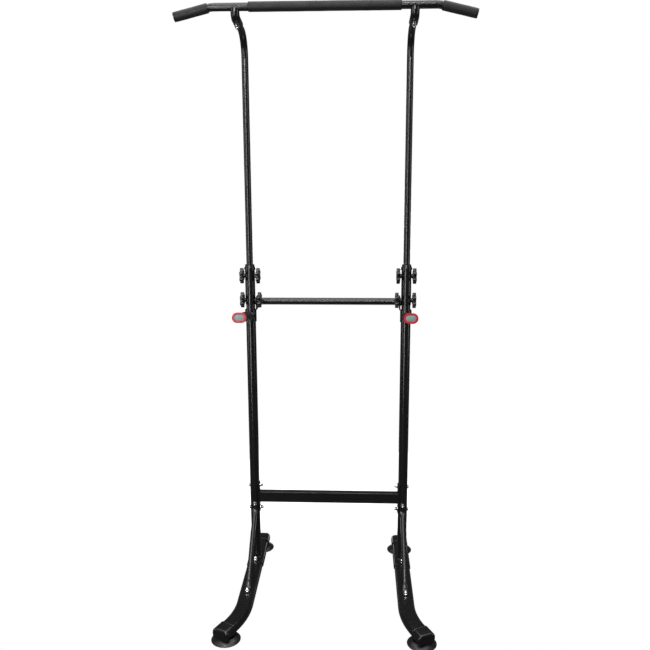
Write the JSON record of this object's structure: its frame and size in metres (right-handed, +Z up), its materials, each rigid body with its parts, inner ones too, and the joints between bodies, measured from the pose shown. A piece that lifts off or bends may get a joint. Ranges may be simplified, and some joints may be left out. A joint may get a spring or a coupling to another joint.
{
  "type": "power tower",
  "caption": "Free-standing power tower with telescopic posts, a pull-up bar with drooping ends, dip arms and suction feet.",
  "frame": {"origin": "on the floor, under the middle of the bounding box", "axes": "+X to the right as seen from the front, +Y from the front to the back, +Z up"},
  "size_m": [1.0202, 0.7711, 2.1725],
  "materials": {
    "black_steel": "semi-gloss black powder coat",
    "black_plastic": "moulded, fine grain",
    "black_rubber": "satin moulded rubber",
    "foam": "closed-cell foam, soft sheen",
    "bright_metal": "bright plated",
    "red_plastic": "gloss",
    "grey_plastic": "satin"
  },
  "bodies": {
    "base": {"rail_left": "black_steel", "rail_right": "black_steel", "rear_cover_left": "black_plastic", "rear_cover_right": "black_plastic", "front_cover_left": "black_plastic", "front_cover_right": "black_plastic", "suction_foot_front_left": "black_rubber", "suction_foot_front_right": "black_rubber", "suction_foot_rear_left": "black_rubber", "suction_foot_rear_right": "black_rubber", "foot_studs": "bright_metal", "saddle_left": "black_steel", "saddle_right": "black_steel", "saddle_bolts": "bright_metal", "lower_post_left": "black_steel", "lower_post_right": "black_steel", "brace_left": "black_steel", "brace_right": "black_steel", "brace_bolts": "bright_metal", "crossbeam": "black_steel", "crossbeam_bolts": "bright_metal", "cap_nuts": "bright_metal", "joining_tube_left": "black_steel", "joining_tube_right": "black_steel", "sleeve_left": "black_steel", "sleeve_right": "black_steel", "collar_left": "black_plastic", "collar_right": "black_plastic", "collar_screws": "bright_metal", "upper_crossbar": "black_steel", "dip_arm_left": "black_steel", "dip_arm_right": "black_steel", "dip_grip_left": "foam", "dip_grip_right": "foam", "grip_ring_left": "red_plastic", "grip_ring_right": "red_plastic", "grip_insert_left": "grey_plastic", "grip_insert_right": "grey_plastic"},
    "upper_frame": {"upper_post_left": "black_steel", "upper_post_right": "black_steel", "post_glide_left": "black_plastic", "post_glide_right": "black_plastic", "bar_leg_left": "black_steel", "bar_leg_right": "black_steel", "pull_up_bar": "black_steel", "middle_foam": "foam", "end_foam_left": "foam", "end_foam_right": "foam", "bar_plug_left": "black_plastic", "bar_plug_right": "black_plastic", "leg_bolts": "bright_metal", "leg_nuts": "bright_metal"},
    "knob_left_outer_upper_body": {"knob_left_outer_upper": "black_plastic"},
    "knob_left_outer_lower_body": {"knob_left_outer_lower": "black_plastic"},
    "knob_left_inner_upper_body": {"knob_left_inner_upper": "black_plastic"},
    "knob_left_inner_lower_body": {"knob_left_inner_lower": "black_plastic"},
    "knob_right_outer_upper_body": {"knob_right_outer_upper": "black_plastic"},
    "knob_right_outer_lower_body": {"knob_right_outer_lower": "black_plastic"},
    "knob_right_inner_upper_body": {"knob_right_inner_upper": "black_plastic"},
    "knob_right_inner_lower_body": {"knob_right_inner_lower": "black_plastic"}
  },
  "joints": [
    {"name": "height_slide", "type": "slide", "parent": "base", "child": "upper_frame", "axis": [0, 0, 1], "range_m": [-0.329, 0]},
    {"name": "knob_left_outer_upper_turn", "type": "hinge", "parent": "base", "child": "knob_left_outer_upper_body", "pos_m": [-0.33, 0.1655, 1.224], "axis": [-1, 0, 0], "continuous": true},
    {"name": "knob_left_outer_lower_turn", "type": "hinge", "parent": "base", "child": "knob_left_outer_lower_body", "pos_m": [-0.33, 0.1655, 1.13], "axis": [-1, 0, 0], "continuous": true},
    {"name": "knob_left_inner_upper_turn", "type": "hinge", "parent": "base", "child": "knob_left_inner_upper_body", "pos_m": [-0.27, 0.1655, 1.224], "axis": [1, 0, 0], "continuous": true},
    {"name": "knob_left_inner_lower_turn", "type": "hinge", "parent": "base", "child": "knob_left_inner_lower_body", "pos_m": [-0.27, 0.1655, 1.13], "axis": [1, 0, 0], "continuous": true},
    {"name": "knob_right_outer_upper_turn", "type": "hinge", "parent": "base", "child": "knob_right_outer_upper_body", "pos_m": [0.33, 0.1655, 1.224], "axis": [1, 0, 0], "continuous": true},
    {"name": "knob_right_outer_lower_turn", "type": "hinge", "parent": "base", "child": "knob_right_outer_lower_body", "pos_m": [0.33, 0.1655, 1.13], "axis": [1, 0, 0], "continuous": true},
    {"name": "knob_right_inner_upper_turn", "type": "hinge", "parent": "base", "child": "knob_right_inner_upper_body", "pos_m": [0.27, 0.1655, 1.224], "axis": [-1, 0, 0], "continuous": true},
    {"name": "knob_right_inner_lower_turn", "type": "hinge", "parent": "base", "child": "knob_right_inner_lower_body", "pos_m": [0.27, 0.1655, 1.13], "axis": [-1, 0, 0], "continuous": true}
  ]
}
